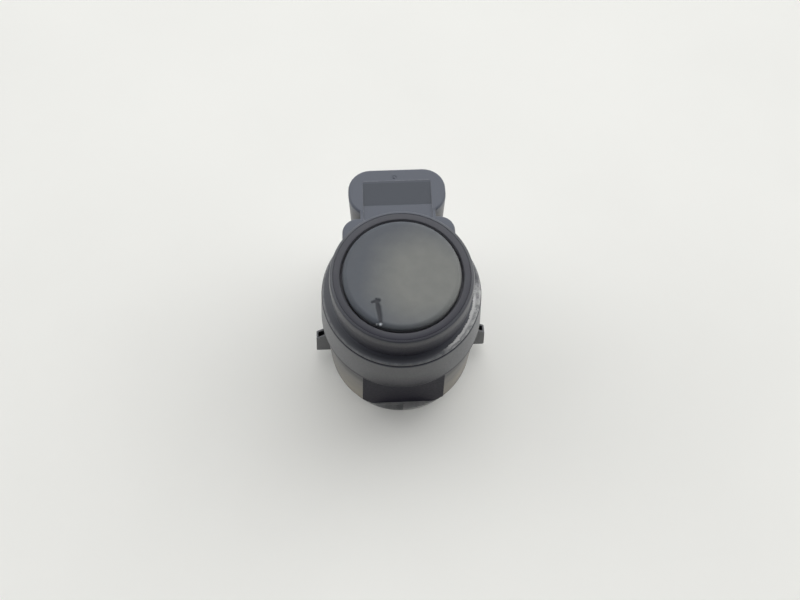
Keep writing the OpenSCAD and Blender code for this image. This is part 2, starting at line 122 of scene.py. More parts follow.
class SensorTurnedSizes(bpy.types.PropertyGroup):
    """Sizes of the collar, neck, rear body and foot"""

    ledge_z: length("Ledge height", "Height of the front ledge above the foot", 26.4)
    collar_r: length("Collar radius", "Radius of the collar at its ledge", 12)
    neck_r: length("Neck radius", "Radius of the neck", 10.6)
    shoulder_w: length("Neck rounding width", "Width of the rounded shoulder at the front of the neck", 0.3)
    shoulder_h: length("Neck rounding height", "Height of the rounded shoulder at the front of the neck", 1.5)
    rim_w: length("Rim", "Width of the thin rim round the soft ring", 0.3)
    bore_r: length("Bore radius", "Radius of the bore that holds the soft ring", 9.55)
    flange_h: length("Flange", "Thickness of the soft ring's front flange", 0.9)
    step_z: length("Step height", "Height of the step above the foot", 17)
    step_edge_r: length("Step edge", "Radius of the collar's lower edge at the step", 1.2)
    body_r: length("Body radius", "Radius of the rear body under the step", 12.4)
    skirt_r: length("Skirt radius", "Radius of the rear body just above the foot", 12.6)
    skirt_z: length("Skirt height", "Height of the widest part of the rear body", 2.4)
    foot_r: length("Foot radius", "Radius of the foot", 12.2)
    foot_h: length("Foot height", "Height of the foot", 0.9)
    groove_h: length("Groove height", "Height of the groove just under the ledge's edge", 0.3)
    groove_depth: length("Groove depth", "Depth of that groove below the ledge's edge", 0.15)
    edge_r: length("Moulded edge", "Radius of the moulded edges", 0.4)
    foot_edge_r: length("Foot edge", "Radius of the small edges at the foot", 0.12)
    shelf_t: length("Shelf", "Thickness of the shelf under the transducer", 1.2)
    shelf_hole_r: length("Shelf hole", "Radius of the hole through the shelf", 6.9)


class SensorBlockSizes(bpy.types.PropertyGroup):
    """Sizes of the squared shoulder, the plug socket, the lugs, the flat and the chamber"""

    ear_w: length("Shoulder width", "Width of the squared shoulder behind the collar", 17.7)
    ear_y: length("Shoulder back", "Distance from the axis to the back of the shoulder", 12.4)
    ear_corner_r: length("Shoulder corner", "Corner radius of the shoulder", 2.4)
    socket_w: length("Socket width", "Outside width of the plug socket", 15.6)
    socket_l: length("Socket depth", "Outside depth of the plug socket", 8.2)
    socket_y: length("Socket front", "Distance from the axis to the socket's front wall", 13)
    socket_z: length("Socket mouth", "Height of the socket's mouth above the foot", 4)
    socket_corner_r: length("Socket corner", "Corner radius of the socket", 3.6)
    socket_wall: length("Socket wall", "Wall of the socket", 1.2)
    ceiling_z: length("Socket ceiling", "Height of the socket's inner end", 18.4)
    bridge_w: length("Bridge width", "Width of the bridge between shoulder and socket", 11.9)
    bridge_rib_w: length("Bridge rib", "Width of the thin rib along each side of the bridge", 0.5)
    bridge_sink: length("Bridge sink", "Depth of the bridge top below its ribs", 0.15)
    field_y: length("Field place", "Distance from the socket's front wall to the sunk field", 1.6)
    field_l: length("Field length", "Length of the sunk field", 4.3)
    field_depth: length("Field depth", "Depth of the sunk field", 0.2)
    latch_w: length("Latch width", "Width of the latch on the back of the socket", 5)
    latch_l: length("Latch ramp", "Length of the latch's ramp", 2.6)
    latch_z: length("Latch height", "Height of the latch above the socket's mouth", 3.4)
    key_w: length("Key width", "Width of each keying rib in the socket", 0.9)
    key_h: length("Key height", "Height of each keying rib", 0.6)
    key_z: length("Key place", "Height of the open end of the keying ribs", 9.2)
    flat_y: length("Flat", "Distance from the axis to the front flat", 10.9)
    pad_w: length("Pad width", "Width of the pad that carries the flat", 14)
    pad_lean: length("Pad lean", "Distance that each side of the pad leans in towards its top", 0.55)
    pad_bevel_w: length("Pad bevel width", "Width of the bevel at each lower corner of the pad", 1.5)
    pad_bevel_h: length("Pad bevel height", "Height of the bevel at each lower corner of the pad", 3)
    notch_l: length("Notch length", "Length of the notch in the foot", 5)
    notch_strip: length("Notch strip", "Width of the strip between the flat and the notch", 0.35)
    notch_z: length("Notch floor", "Height of the notch's floor", 0.35)
    lug_t: length("Lug thickness", "Thickness of a side lug", 1.5)
    lug_z: length("Lug place", "Height of the underside of a lug", 1.4)
    lug_lean: length("Lug lean", "Distance that the end of a lug leans back", 0.5)
    lug_end_h: length("Lug end", "Height of a lug at its end", 5.9)
    lug_root_h: length("Lug root", "Height of a lug at the rear body", 8.1)
    lug_wall: length("Lug side wall", "Side walls of the pocket in a lug", 0.3)
    lug_end_wall: length("Lug end wall", "Wall between the pocket and the end of the lug", 0.35)
    lug_pocket: length("Lug pocket", "Depth of the pocket below the top of the lug's end", 3)
    wall: length("Chamber wall", "Wall of the rear chamber", 1.5)
    post_r: length("Post radius", "Radius of the posts that stop the circuit board", 1.2)


class SensorTransducerSizes(bpy.types.PropertyGroup):
    """Sizes of the sensing cup, the soft ring and the casting resin"""

    cup_wall: length("Cup wall", "Wall of the transducer cup", 1)
    face_t: length("Face", "Thickness of the sensing face", 0.9)
    face_edge_r: length("Face edge", "Radius of the sensing face's edge", 0.75)
    gap_w: length("Gap", "Width of the open gap round the sensing face", 0.35)
    bead_h: length("Bead", "Height that the soft ring falls from its inner to its outer edge", 0.05)
    gap_depth: length("Gap depth", "Depth of the open gap below the front of the soft ring", 1.4)
    slip_fit: length("Clearance", "Clearance between the transducer's pieces", 0.05)
    face_ring: length("Face mesh", "Distance between the rings of the sensing face's mesh", 0.1)
    meniscus_w: length("Meniscus width", "Width of the resin that climbs the chamber wall", 0.9)
    meniscus_h: length("Meniscus height", "Height of the resin that climbs the chamber wall", 0.3)


class SensorWear(bpy.types.PropertyGroup):
    """Marks of use on the disc and the housing"""

    gouge_w: length("Gouge width", "Half of the width of the gouge in the disc", 0.46)
    gouge_depth: length("Gouge depth", "Depth of the gouge", 0.13)
    burr_h: length("Burr", "Height of the burr beside the gouge", 0.03)
    chip_r: length("Chip", "Radius of the bare spot where the gouge meets the disc's edge", 0.24)
    nick_r: length("Nick", "Radius of the nicks in the collar's edge", 0.26)
    gate_r: length("Gate mark", "Radius of the moulding gate's mark on the socket", 0.5)
    scrape_from: angle("Scrape start", "Turn at which the scraped stretch of the ledge starts", -72)
    scrape_to: angle("Scrape end", "Turn at which the scraped stretch of the ledge ends", 7)


class SensorFinish(bpy.types.PropertyGroup):
    """Colours of the materials"""

    plastic: colour("Housing plastic", "Black moulded plastic of the housing", "#555659")
    # Painted reflection of the sky: a bluer grey on the top of the socket
    socket_sky_reflection: colour("Socket plastic", "Cleaner plastic at the top of the socket", "#585c65")
    # Painted shade: the dark colour on the front flat, the fronts of the collar and neck, in creases and on
    # the soft ring's front
    plastic_painted_shade: colour("Smooth plastic", "Smoother plastic of the front flat", "#201e29")
    # Painted shade: a darker grey in the sunk field of the socket
    field_painted_shade: colour("Field plastic", "Plastic of the sunk field in the socket", "#3e4249")
    # Pale scuffed plastic, also the colour of the painted highlights and of the painted light on the foot's
    # front
    plastic_scuffed_and_highlight: colour("Scuffed plastic", "Plastic that has been scraped pale", "#d0d0ce")
    road_dust: colour("Road dust", "Warm film of dust low on the housing", "#969187")
    # Painted light: a paler grey in the gap round the disc, lightening its shade
    gap_painted_light: colour("Dust in the gap", "Grey dust in the gap round the disc", "#8b8b90")
    rubber: colour("Soft ring", "Silicone rubber of the soft ring", "#4e4e53")
    paint: colour("Disc paint", "Satin paint of the sensing disc", "#4f5358")
    paint_warm: colour("Disc paint, warm", "Paler, wiped paint beside the disc's middle", "#757671")
    paint_gouged: colour("Gouged paint", "Dark floor of the gouge in the disc", "#262629")
    bare_metal: colour("Bare aluminium", "Aluminium where the paint is chipped", "#d5d6d2")
    resin: colour("Casting resin", "Resin that closes the housing's back", "#33302b")
    tin: colour("Tin plate", "Tinned contacts", "#c9c8c3")
    copper: colour("Enamelled copper", "Leads and the winding", "#b0622c")
    board: colour("Board", "Solder mask of the circuit board", "#1d5b36")
    chip: colour("Chip resin", "Moulded resin of the chips", "#1d1d1f")
    ferrite: colour("Ferrite", "Sintered core", "#3b3936")
    ceramic: colour("Piezo ceramic", "Silvered piezo ceramic", "#d9d3c4")
    felt: colour("Felt", "Pressed wool felt", "#e2ddd0")
    capacitor: colour("Chip capacitor", "Fired ceramic of the chip capacitors", "#b0976b")
    aluminium: colour("Drawn aluminium", "Can of the buffer capacitor", "#c6c8c9")
    floor: colour("Floor", "Pale floor and background", "#e9e9e5")
    floor_worn: colour("Floor, worn", "Slightly darker patches of the floor", "#e4e4e0")
    sky: colour("Sky", "Cool light that level faces mirror", "#d3dbea")


class SensorStage(bpy.types.PropertyGroup):
    """Camera and light"""

    focal_px: bpy.props.FloatProperty(
        name="Focal length", description="Focal length in pixels of an 800 pixel wide image", default=720
    )
    distance: length("Camera distance", "Distance from the camera to its aim", 112.64)
    aim_side: length("Aim, sideways", "Sideways place of the camera's aim", -0.2)
    aim_height: length("Aim height", "Height of the camera's aim above the foot", 22.1)
    elevation: angle("Camera elevation", "Angle at which the camera looks down", 67.7)
    turn: angle("Camera turn", "Turn of the camera round the sensing axis", -3.54)
    roll: angle("Camera roll", "Roll of the camera about its own view", 1.2)
    sky: bpy.props.FloatProperty(
        name="Sky light", description="Strength of the even light from all round", default=1.18, min=0
    )
    lamp_power: bpy.props.FloatProperty(
        name="Lamp", description="Power of the large soft lamp overhead", default=0.37, min=0, unit="POWER"
    )
    lamp_size: length("Lamp size", "Side of the large soft lamp", 320)


class SensorSettings(bpy.types.PropertyGroup):
    """All settings of the parking sensor"""

    turned: bpy.props.PointerProperty(type=SensorTurnedSizes)
    blocks: bpy.props.PointerProperty(type=SensorBlockSizes)
    transducer: bpy.props.PointerProperty(type=SensorTransducerSizes)
    wear: bpy.props.PointerProperty(type=SensorWear)
    finish: bpy.props.PointerProperty(type=SensorFinish)
    stage: bpy.props.PointerProperty(type=SensorStage)


# Mesh building


def arc(centre, radius, start, stop, rise=None, steps=ARC_STEPS):
    """Points of an arc, or of part of an ellipse with another rise, with the turns in degrees."""
    turns = [math.radians(start + (stop - start) * i / steps) for i in range(steps + 1)]
    rise = radius if rise is None else rise
    return [(centre[0] + radius * math.cos(t), centre[1] + rise * math.sin(t)) for t in turns]


def rectangle(x_from, x_to, y_from, y_to):
    """Corners of a plain rectangle."""
    return [(x_from, y_from), (x_to, y_from), (x_to, y_to), (x_from, y_to)]


def rounded_rectangle(width, depth, corner_r):
    """Outline of a rectangle with round corners, about its middle."""
    corners = [(1, 1), (-1, 1), (-1, -1), (1, -1)]
    outline = []
    for i, (x, y) in enumerate(corners):
        centre = (x * (width / 2 - corner_r), y * (depth / 2 - corner_r))
        outline += arc(centre, corner_r, 90 * i, 90 * i + 90)
    return outline


def drawn_in(outline, distance):
    """The outline of a counter-clockwise shape, moved inwards by a distance."""
    moved, sharpest = [], 0.4
    for before, here, after in zip(outline[-1:] + outline[:-1], outline, outline[1:] + outline[:1]):
        first = (Vector(here) - Vector(before)).normalized()
        second = (Vector(after) - Vector(here)).normalized()
        inwards = Vector((-first.y - second.y, first.x + second.x)).normalized()
        stretch = max(sharpest, inwards.dot(Vector((-first.y, first.x))))
        moved.append(tuple(Vector(here) + inwards * distance / stretch))
    return moved


def finished_object(name, shape):
    """Turns a bmesh into an object whose faces all point outwards."""
    bmesh.ops.recalc_face_normals(shape, faces=shape.faces)
    mesh = bpy.data.meshes.new(name)
    shape.to_mesh(mesh)
    shape.free()
    piece = bpy.data.objects.new(name, mesh)
    bpy.context.scene.collection.objects.link(piece)
    return piece


def loft(name, rings, closed=False):
    """Skins a row of rings, where a ring of one point is a pole, and caps the open ends."""
    shape = bmesh.new()
    rows = [[shape.verts.new(point) for point in ring] for ring in rings]
    for low, high in zip(rows, rows[1:] + rows[:1] if closed else rows[1:]):
        count = max(len(low), len(high))
        for i in range(count if count > 1 else 0):
            j = (i + 1) % count
            corners = [low[i % len(low)], low[j % len(low)], high[j % len(high)], high[i % len(high)]]
            shape.faces.new(list(dict.fromkeys(corners)))
    for end in () if closed else (rows[0], rows[-1]):
        if len(end) > 1:
            shape.faces.new(end)
    return finished_object(name, shape)


def turned(name, profile, sides=TURN_SIDES, closed=False):
    """Spins a profile of radius and height about the sensing axis."""
    turns = [math.tau * i / sides for i in range(sides)]
    rings = [
        [(radius * math.cos(t), radius * math.sin(t), height) for t in turns]
        if radius > TINY else [(0, 0, height)]
        for radius, height in profile
    ]
    return loft(name, rings, closed)


def prism(name, outline, start, stop, turn=Matrix.Identity(4)):
    """Extrudes an outline from start to stop, and turns it into place."""
    return loft(name, [[turn @ Vector((x, y, h)) for x, y in outline] for h in (start, stop)])


def rounded_block(name, width, depth, corner_r, low, high, middle_y, foot_r, edge_r):
    """Upright block with round corners, a rounded top edge and a slightly rounded foot."""
    steps = arc((foot_r, low + foot_r), foot_r, 270, 180)
    steps += arc((edge_r, high - edge_r), edge_r, 180, 90)
    rings = []
    for inset, height in steps:
        outline = rounded_rectangle(width - 2 * inset, depth - 2 * inset, corner_r - inset)
        rings.append([(x, y + middle_y, height) for x, y in outline])
    return loft(name, rings)


def pebble(name, centre, radii):
    """A small round tool for dimples and nicks."""
    shape = bmesh.new()
    place = Matrix.Translation(centre) @ Matrix.Diagonal((*radii, 1))
    bmesh.ops.create_icosphere(shape, subdivisions=3, radius=1, matrix=place)
    return finished_object(name, shape)


def combine(piece, operation, *tools):
    """Joins tools to a piece or cuts them from it, and removes the tools."""
    for tool in tools:
        step = piece.modifiers.new(tool.name, "BOOLEAN")
        step.operation = operation
        step.solver = "EXACT"
        step.object = tool
    graph = bpy.context.evaluated_depsgraph_get()
    rough = piece.data
    piece.data = bpy.data.meshes.new_from_object(piece.evaluated_get(graph))
    piece.modifiers.clear()
    for mesh in [rough] + [tool.data for tool in tools]:
        bpy.data.meshes.remove(mesh)
    if not piece.data.polygons:
        raise RuntimeError(f"nothing is left of {piece.name} after its {operation.lower()}")


def clean(piece):
    """Welds the cut mesh and drops slivers, so that no stray face is left."""
    shape = bmesh.new()
    shape.from_mesh(piece.data)
    bmesh.ops.remove_doubles(shape, verts=shape.verts, dist=WELD)
    bmesh.ops.dissolve_degenerate(shape, edges=shape.edges, dist=SHORTEST)
    bmesh.ops.recalc_face_normals(shape, faces=shape.faces)
    shape.to_mesh(piece.data)
    shape.free()


def smooth(piece):
    """Shades round stretches smoothly and keeps true edges and flat faces."""
    piece.data.shade_smooth()
    piece.data.set_sharp_from_angle(angle=SHARP_TURN)
    step = piece.modifiers.new("Flat faces stay flat", "WEIGHTED_NORMAL")
    step.keep_sharp = True
    step.weight = FLAT_WEIGHT


def place_piece(piece, material, slot, *nodes):
    """Gives a new piece its material, hangs it on the body, and hides the nodes that it replaces."""
    piece.data.materials.clear()
    piece.data.materials.append(material)
    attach(piece, BODY)
    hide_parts(*nodes)


def paint_nodes(material, *names):
    """Gives kept CAD nodes a material."""
    for name in names:
        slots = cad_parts[name].data.materials
        slots.clear()
        slots.append(material)


def paint_plainly(finish, *rows):
    """Gives kept CAD nodes plain finishes, whose colours the rows name."""
    for nodes, name, tint, second, feature, contrast, relief, surface in rows:
        tints = getattr(finish, tint), getattr(finish, second)
        paint_nodes(plain_finish(name, *tints, feature, contrast, relief, **surface), *nodes.split())


# Materials


def node(owner, kind, inputs=None, out=0, **settings):
    """Adds a shader node, fills its inputs with values or outputs of others, and gives one of its own."""
    made = owner.node_tree.nodes.new("ShaderNode" + kind)
    for key, value in settings.items():
        setattr(made, key, value)
    for key, value in (inputs or {}).items():
        if isinstance(value, bpy.types.NodeSocket):
            owner.node_tree.links.new(value, made.inputs[key])
        else:
            made.inputs[key].default_value = value
    return made.outputs[out] if made.outputs else None


def new_material(name):
    """An empty material, the function that adds nodes to it, and the spot on the piece in millimetres."""
    material = bpy.data.materials.new(name)
    material.use_nodes = True
    material.node_tree.nodes.clear()
    add = functools.partial(node, material)
    spot = add("VectorMath", {0: add("TexCoord", out="Object"), 3: 1 / MM}, operation="SCALE")
    return material, add, spot


def opaque(tint):
    """A colour with full opacity."""
    return (*tint, 1)


def close_material(add, **inputs):
    """Ends a material with its surface shader."""
    names = {"colour": "Base Color", "roughness": "Roughness", "metallic": "Metallic", "normal": "Normal",
             "ior": "IOR", "specular": "Specular IOR Level", "sheen": "Sheen Weight", "coat": "Coat Weight",
             "glow": "Emission Strength", "glow_colour": "Emission Color"}
    shader = add("BsdfPrincipled", {names[key]: value for key, value in inputs.items()})
    add("OutputMaterial", {"Surface": shader})


def inside(add, *ramps):
    """A mask that is 1 where each value has passed from the first to the second bound of its ramp."""
    mask = 1.0
    for value, zero, one in ramps:
        share = add("MapRange", {0: value, 1: zero, 2: one})
        mask = add("Math", {0: mask, 1: share}, operation="MULTIPLY")
    return mask


def layered(add, tone, *layers):
    """A tone with coats of colour over it, each as strong as its mask."""
    for share, tint in layers:
        tone = add("Mix", {0: share, 6: tone, 7: opaque(tint)}, out=2, data_type="RGBA")
    return tone


def places(add, spot):
    """A spot's place along X, Y and Z, and its distance from the sensing axis."""
    level = add("VectorMath", {0: spot, 1: (1, 1, 0)}, operation="MULTIPLY")
    radius = add("VectorMath", {0: level}, out="Value", operation="LENGTH")
    return *add("SeparateXYZ", {0: spot}).node.outputs, radius


def in_mm(group):
    """The lengths of a settings group in millimetres, as the masks use them."""
    lengths = [key for key, kind in group.bl_rna.properties.items() if kind.unit == "LENGTH"]
    return types.SimpleNamespace(**{key: getattr(group, key) / MM for key in lengths})


def field_place(blocks):
    """Half of the sunk field's width, and where it starts and ends behind the axis."""
    start = blocks.socket_y + blocks.field_y
    return blocks.bridge_w / 2 - blocks.bridge_rib_w, start, start + blocks.field_l


def housing_places(add, spot):
    """Where a spot of the housing lies, and the noises that break up its dust, wear and painted highlights.
    """
    x, y, z, radius = places(add, spot)
    patch = add("TexNoise", {"Vector": spot, "Scale": 1 / 3, "Detail": 5.0}, out="Fac")
    streak = add("TexNoise", {"Vector": spot, "Scale": 1 / 0.9, "Detail": 6.0, "Roughness": 0.7}, out="Fac")
    return types.SimpleNamespace(
        y=y, z=z, radius=radius, streak=streak,
        across=add("Math", {0: x}, operation="ABSOLUTE"),
        turn=add("Math", {0: y, 1: x}, operation="ARCTAN2"),
        patch=add("MapRange", {0: patch, 1: 0.32, 2: 0.62, 3: 0.6, 4: 1.0}),
        rub=add("MapRange", {0: streak, 1: 0.4, 2: 0.58, 3: 0.2, 4: 1.0}),
    )


def painted_light_masks(add, at, sizes, blocks):
    """A painted reflection of the sky on the top of the socket, painted shade in its sunk field, and painted
    shade on the front flat.
    """
    top, step, foot_h, flat_y = sizes.ledge_z, sizes.step_z, sizes.foot_h, blocks.flat_y
    half, field_y, field_end = field_place(blocks)
    # Painted reflection of the sky on the top of the socket
    sky_reflection = inside(add, (at.y, 6, 11), (at.z, top - 2, top - 0.5))
    # Painted shade in the sunk field
    field = inside(add, (at.across, half, half - 0.05), (at.y, field_y - 0.1, field_y + 0.1),
                   (at.y, field_end, field_end - 0.3), (at.z, top - 1, top - 0.9))
    # Painted shade on the front flat under the collar
    flat = inside(add, (at.y, 0.08 - flat_y, 0.04 - flat_y), (at.z, foot_h + 0.02, foot_h + 0.08),
                  (at.z, step, step - 0.05))
    return sky_reflection, field, flat


def dust_mask(add, at, sizes, bare):
    """Dust that lies in patches on the front of the rear body, but not on the foot, the lugs or the flat."""
    thick = add("MapRange", {0: at.y, 1: 0, 2: -9, 3: 0.15, 4: 1.0})
    return inside(add, (at.z, sizes.step_z + 0.5, 6), (at.z, sizes.foot_h, sizes.skirt_z), (at.patch, 0, 1),
                  (bare, 0, 1), (thick, 0, 1), (at.radius, sizes.skirt_r + 0.15, sizes.skirt_r + 0.05))


def painted_shade_mask(add, at, sizes, flat, bare):
    """Painted shade on the flat, the collar's and neck's fronts, in the groove, under the step, along the
    collar's lower edge and on the top rim.
    """
    top, step, end = sizes.ledge_z, sizes.step_z, HOUSING_HIGH.z / MM
    # Painted shade on the front of the collar, strongest just above the step
    fade = add("MapRange", {0: at.z, 1: step + 5.3, 2: step + 0.8, 3: 0.2, 4: 1.0})
    collar = inside(add, (at.y, -10.6, -12.5), (at.z, step - 0.2, step), (at.z, top - 0.4, top - 0.7),
                    (fade, 0, 1))
    # Painted shade on the front of the neck
    neck = inside(add, (at.radius, sizes.neck_r + 1.1, sizes.neck_r + 0.1), (at.z, top - 0.2, top - 0.1),
                  (at.z, top + 6.2, top + 3.6), (at.y, -3, -13))
    # Painted shade in the groove under the ledge's edge, strongest at the front
    groove_z = top - sizes.edge_r - sizes.groove_h
    groove = inside(add, (at.z, groove_z - 0.03, groove_z + 0.05), (at.z, groove_z + 0.4, groove_z + 0.3),
                    (at.radius, sizes.collar_r + 0.1, sizes.collar_r - 0.02), (at.y, 9, -9))
    # Painted shade under the step, at the front
    under = inside(add, (at.z, step - 4.4, step - 2.6), (at.z, step + 0.1, step), (bare, 0, 2.5),
                   (at.radius, sizes.skirt_r + 0.1, sizes.skirt_r), (at.y, 0, -6))
    # Painted shade along the collar's lower edge, at the front
    lip = inside(add, (at.z, step + 1.8, step + 1.2), (at.z, step - 0.1, step),
                 (at.radius, sizes.body_r + 0.05, sizes.body_r + 0.15), (at.y, 4, -5), (bare, 0, 1.25))
    # Painted shade on the front half of the top rim
    rim = inside(add, (at.z, end - 0.15, end - 0.05), (at.y, 0, -16))
    dark = flat
    for share in (collar, neck, groove, under, lip, rim):
        dark = add("Math", {0: dark, 1: share}, operation="MAXIMUM")
    return dark


def wear_and_highlight_masks(add, at, sizes, blocks, wear):
    """The scrape along the ledge, worn pale with a painted sheen, and the painted highlight on its inner
    edge; then painted light and highlights on ledge, foot and field.
    """
    neck_r, collar_r, top, foot_h = sizes.neck_r, sizes.collar_r, sizes.ledge_z, sizes.foot_h
    start, end, flat_y = wear.scrape_from, wear.scrape_to, blocks.flat_y
    half, _, field_end = field_place(blocks)
    # The scrape is wear with a painted sheen over it. Its inner edge slides in towards the neck along its
    # way, and the painted highlight's edges are ragged
    slid = add("Math", {0: at.turn, 1: 0.6, 2: at.radius}, operation="MULTIPLY_ADD")
    ragged = add("Math", {0: at.streak, 1: 1.0, 2: slid}, operation="MULTIPLY_ADD")
    on_ledge = ((at.z, top - 0.6, top - 0.35), (at.z, top + 0.3, top + 0.1))
    scrape_and_sheen = inside(add, (at.turn, start, start + 0.9), (at.turn, end, end - 0.2), *on_ledge, (at.rub, 0, 1),
                    (slid, neck_r + 0.1, neck_r + 0.2), (at.radius, collar_r + 0.8, neck_r + 0.6))
    # Painted highlight: a bright line along the scrape's inner edge
    inner_highlight = inside(add, (at.turn, start + 0.2, start + 0.35), (at.turn, end - 0.15, end - 0.3),
                   (ragged, neck_r + 0.6, neck_r + 0.65), (ragged, neck_r + 1.1, neck_r + 0.9), *on_ledge)
    # The ledge's edge is rubbed pale, with a painted highlight along it
    ledge = inside(add, (at.radius, collar_r - 0.4, collar_r - 0.2), (at.radius, collar_r + 0.15, collar_r),
                   (at.z, top - 0.35, top - 0.15), (at.z, top + 0.1, top + 0.05), (at.y, 9, 7),
                   (at.streak, 0.3, 2.0))
    # Painted highlight on the foot's top strip in front of the flat
    strip = inside(add, (at.y, 0.05 - flat_y, -flat_y), (at.z, foot_h - 0.1, foot_h - 0.05),
                   (at.z, foot_h + 0.05, foot_h + 0.02), (at.rub, -3, 1))
    # Painted light on the front face of the foot
    foot = inside(add, (at.z, foot_h, foot_h - 0.1), (at.z, 0.02, 0.1), (at.y, -8, -11.5), (at.rub, -2, 2))
    # Painted highlight along the far end of the sunk field
    line = inside(add, (at.across, half, half - 0.3), (at.y, field_end, field_end + 0.05),
                  (at.y, field_end + 0.3, field_end + 0.1), (at.z, top - 0.3, top - 0.25), (at.rub, 0, 12))
    return scrape_and_sheen, inner_highlight, ledge, strip, foot, line


def glass_filled_nylon(settings):
    """Glass-filled nylon, injection moulded: finely grained black, greyed by dust, pale where scraped, with
    painted shade, reflection and highlights.
    """
    finish, sizes, blocks = settings.finish, in_mm(settings.turned), in_mm(settings.blocks)
    material, add, spot = new_material("glass_filled_nylon_moulded")
    at = housing_places(add, spot)
    # The tool's grain is about 0.05 mm, drawn at 0.3 mm so that it shows
    grain = add("TexNoise", {"Vector": spot, "Scale": 1 / 0.3, "Detail": 3.0}, out="Fac")
    cloud = add("TexNoise", {"Vector": spot, "Scale": 1 / 6, "Detail": 2.0}, out="Fac")
    shade = add("MapRange", {0: cloud, 1: 0.3, 2: 0.7, 3: 0.92, 4: 1.08})
    fine = add("MapRange", {0: grain, 1: 0.3, 2: 0.7, 3: 0.97, 4: 1.03})
    shade = add("Math", {0: shade, 1: fine}, operation="MULTIPLY")
    tone = add("VectorMath", {0: finish.plastic, 3: shade}, operation="SCALE")
    sky_reflection, field, flat = painted_light_masks(add, at, sizes, blocks)
    bare = add("Math", {0: 1.0, 1: flat}, operation="SUBTRACT")
    dust = dust_mask(add, at, sizes, bare)
    dark = painted_shade_mask(add, at, sizes, flat, bare)
    # Wear and scuffs, with painted sheen, highlights and light
    worn = wear_and_highlight_masks(add, at, sizes, blocks, settings.wear)
    # Handling has rubbed the edges a little paler
    rounded = add("Bevel", {"Radius": 0.14 * MM}, samples=6)
    plain = add("NewGeometry", out="Normal")
    facing = add("VectorMath", {0: rounded, 1: plain}, out="Value", operation="DOT_PRODUCT")
    edge = inside(add, (facing, 0.98, 0.2), (at.patch, 0, 2), (bare, 0, 1))
    # A few specks of pale dust
    cells = add("TexVoronoi", {"Vector": spot, "Scale": 1 / 1.3}).node.outputs
    chance = add("SeparateColor", {0: cells["Color"]})
    specks = inside(add, (cells["Distance"], 0.1, 0.05), (chance, 0.88, 0.9), (dark, 0.2, 0), (at.rub, 0, 4))
    # Over the grain: painted sky reflection, painted shade in the field, road dust, painted shade, scuffs
    # with painted highlights and light, and pale dust specks
    tone = layered(add, tone, (sky_reflection, finish.socket_sky_reflection), (field, finish.field_painted_shade),
                   (dust, finish.road_dust), (dark, finish.plastic_painted_shade),
                   *((share, finish.plastic_scuffed_and_highlight) for share in (*worn, edge)), (specks, finish.bare_metal))
    scrape_and_sheen = worn[0]
    rough = add("MapRange", {0: grain, 1: 0.3, 2: 0.7, 3: 0.36, 4: 0.46})
    rough = add("Mix", {0: dust, 2: rough, 3: 0.8}, data_type="FLOAT")
    rough = add("Mix", {0: scrape_and_sheen, 2: rough, 3: 0.34}, data_type="FLOAT")
    shine = add("MapRange", {0: dark, 3: 0.5, 4: 0.06})
    relief = add("Math", {0: grain, 1: scrape_and_sheen}, operation="ADD")
    bump = add("Bump", {"Strength": 0.15, "Distance": 0.03 * MM, "Height": relief, "Normal": rounded})
    close_material(add, colour=tone, roughness=rough, specular=shine, normal=bump, ior=1.5)
    return material


def silicone_rubber(settings):
    """Silicone rubber, compression moulded: a matt, nearly black skin, painted paler in the gap and with
    painted shade at its front.
    """
    finish = settings.finish
    material, add, spot = new_material("silicone_rubber_moulded")
    _, y, z, radius = places(add, spot)
    film = add("TexNoise", {"Vector": spot, "Scale": 1 / 2, "Detail": 6.0}, out="Fac")
    film = add("MapRange", {0: film, 1: 0.35, 2: 0.75, 3: 0.0, 4: 0.5})
    # Paler colour is painted into the gap round the disc, lightening its shade, and painted shade lies along
    # the front of the outer edge
    gap_r = (CUP_HIGH.x + settings.transducer.gap_w) / MM
    ring_r, ring_z = RING_HIGH.x / MM, RING_HIGH.z / MM
    dust = inside(add, (radius, gap_r + 0.06, gap_r + 0.02), (z, ring_z - 0.1, ring_z - 0.3))
    front_shade = inside(add, (radius, gap_r + 0.15, ring_r + 0.1), (y, 2, -9))
    tone = layered(add, opaque(finish.rubber), (film, finish.plastic), (dust, finish.gap_painted_light),
                   (front_shade, finish.plastic_painted_shade))
    grain = add("TexNoise", {"Vector": spot, "Scale": 1 / 0.35, "Detail": 2.0}, out="Fac")
    bump = add("Bump", {"Strength": 0.2, "Distance": 0.02 * MM, "Height": grain})
    close_material(add, colour=tone, roughness=0.62, normal=bump, ior=1.43)
    return material


